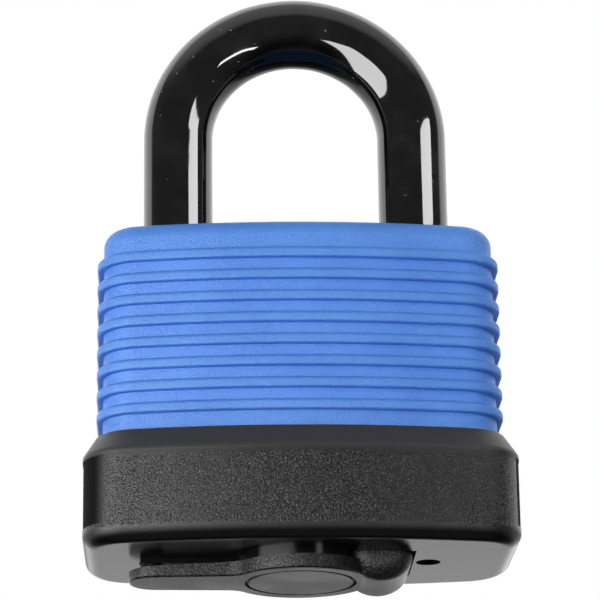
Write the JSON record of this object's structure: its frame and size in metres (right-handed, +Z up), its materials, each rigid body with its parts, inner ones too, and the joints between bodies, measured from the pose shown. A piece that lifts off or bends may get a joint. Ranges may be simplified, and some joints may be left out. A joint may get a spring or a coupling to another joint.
{
  "type": "padlock",
  "caption": "Weatherproof padlock: ribbed jacket over a laminated lock core, base cap with a hinged keyway flap, and a sleeved shackle that lifts to open.",
  "frame": {"origin": "middle of the footprint, level with the lowest point of the keyway flap", "axes": "+Z up along the shackle legs, +X across the body towards the shackle's free leg, -Y towards the front face"},
  "size_m": [0.0504, 0.0278, 0.0739],
  "materials": {
    "jacket_plastic": "blue moulded plastic, fine matt texture",
    "base_plastic": "black moulded plastic, leather grain",
    "flap_plastic": "dark grey moulded plastic, satin",
    "sleeve_plastic": "glossy black sleeve",
    "seal_rubber": "black rubber",
    "shackle_steel": "hardened steel, ground",
    "plate_steel": "stamped steel plate",
    "bright_steel": "bright steel",
    "spring_steel": "spring steel wire",
    "lock_brass": "machined brass"
  },
  "bodies": {
    "lock_body": {"jacket": "jacket_plastic", "base_cap": "base_plastic", "leg_seal_left": "seal_rubber", "leg_seal_right": "seal_rubber", "flap_hinge_pin": "bright_steel", "body_rivets": "bright_steel", "cylinder_body": "lock_brass", "pin_cover": "lock_brass", "driver_pins": "lock_brass", "pin_springs": "spring_steel", "dog_spring_left": "spring_steel", "dog_spring_right": "spring_steel", "shackle_spring": "spring_steel", "heel_pin": "bright_steel", "core_plate_01": "plate_steel", "core_plate_02": "plate_steel", "core_plate_03": "plate_steel", "core_plate_04": "plate_steel", "core_plate_05": "plate_steel", "core_plate_06": "plate_steel", "core_plate_07": "plate_steel", "core_plate_08": "plate_steel", "core_plate_09": "plate_steel", "core_plate_10": "plate_steel", "core_plate_11": "plate_steel", "core_plate_12": "plate_steel", "core_plate_13": "plate_steel"},
    "shackle": {"shackle_bar": "shackle_steel", "shackle_sleeve": "sleeve_plastic"},
    "plug": {"cylinder_plug": "lock_brass", "key_pins": "lock_brass", "plug_clip": "spring_steel", "lock_cam": "bright_steel"},
    "dog_right": {"locking_dog_right": "bright_steel"},
    "dog_left": {"locking_dog_left": "bright_steel"},
    "flap": {"keyway_flap": "flap_plastic", "flap_seal": "seal_rubber"}
  },
  "joints": [
    {"name": "shackle_lift", "type": "slide", "parent": "lock_body", "child": "shackle", "axis": [0, 0, 1], "range_m": [0, 0.013], "deforming": ["shackle_spring"]},
    {"name": "plug_turn", "type": "hinge", "parent": "lock_body", "child": "plug", "pos_m": [0, -0.0015, 0.008], "axis": [0, 0, 1], "range_deg": [0, 90]},
    {"name": "dog_right_slide", "type": "slide", "parent": "lock_body", "child": "dog_right", "axis": [1, 0, 0], "range_m": [0, 0.0018], "deforming": ["dog_spring_right"]},
    {"name": "dog_left_slide", "type": "slide", "parent": "lock_body", "child": "dog_left", "axis": [-1, 0, 0], "range_m": [0, 0.0018], "deforming": ["dog_spring_left"]},
    {"name": "flap_hinge", "type": "hinge", "parent": "lock_body", "child": "flap", "pos_m": [0.00915, 0, 0.0037], "axis": [0, -1, 0], "range_deg": [0, 110]}
  ],
  "couplings": [
    {"joint": "dog_right_slide", "follows": "plug_turn", "m_per_rad": 0.0011459},
    {"joint": "dog_left_slide", "follows": "plug_turn", "m_per_rad": 0.0011459}
  ]
}
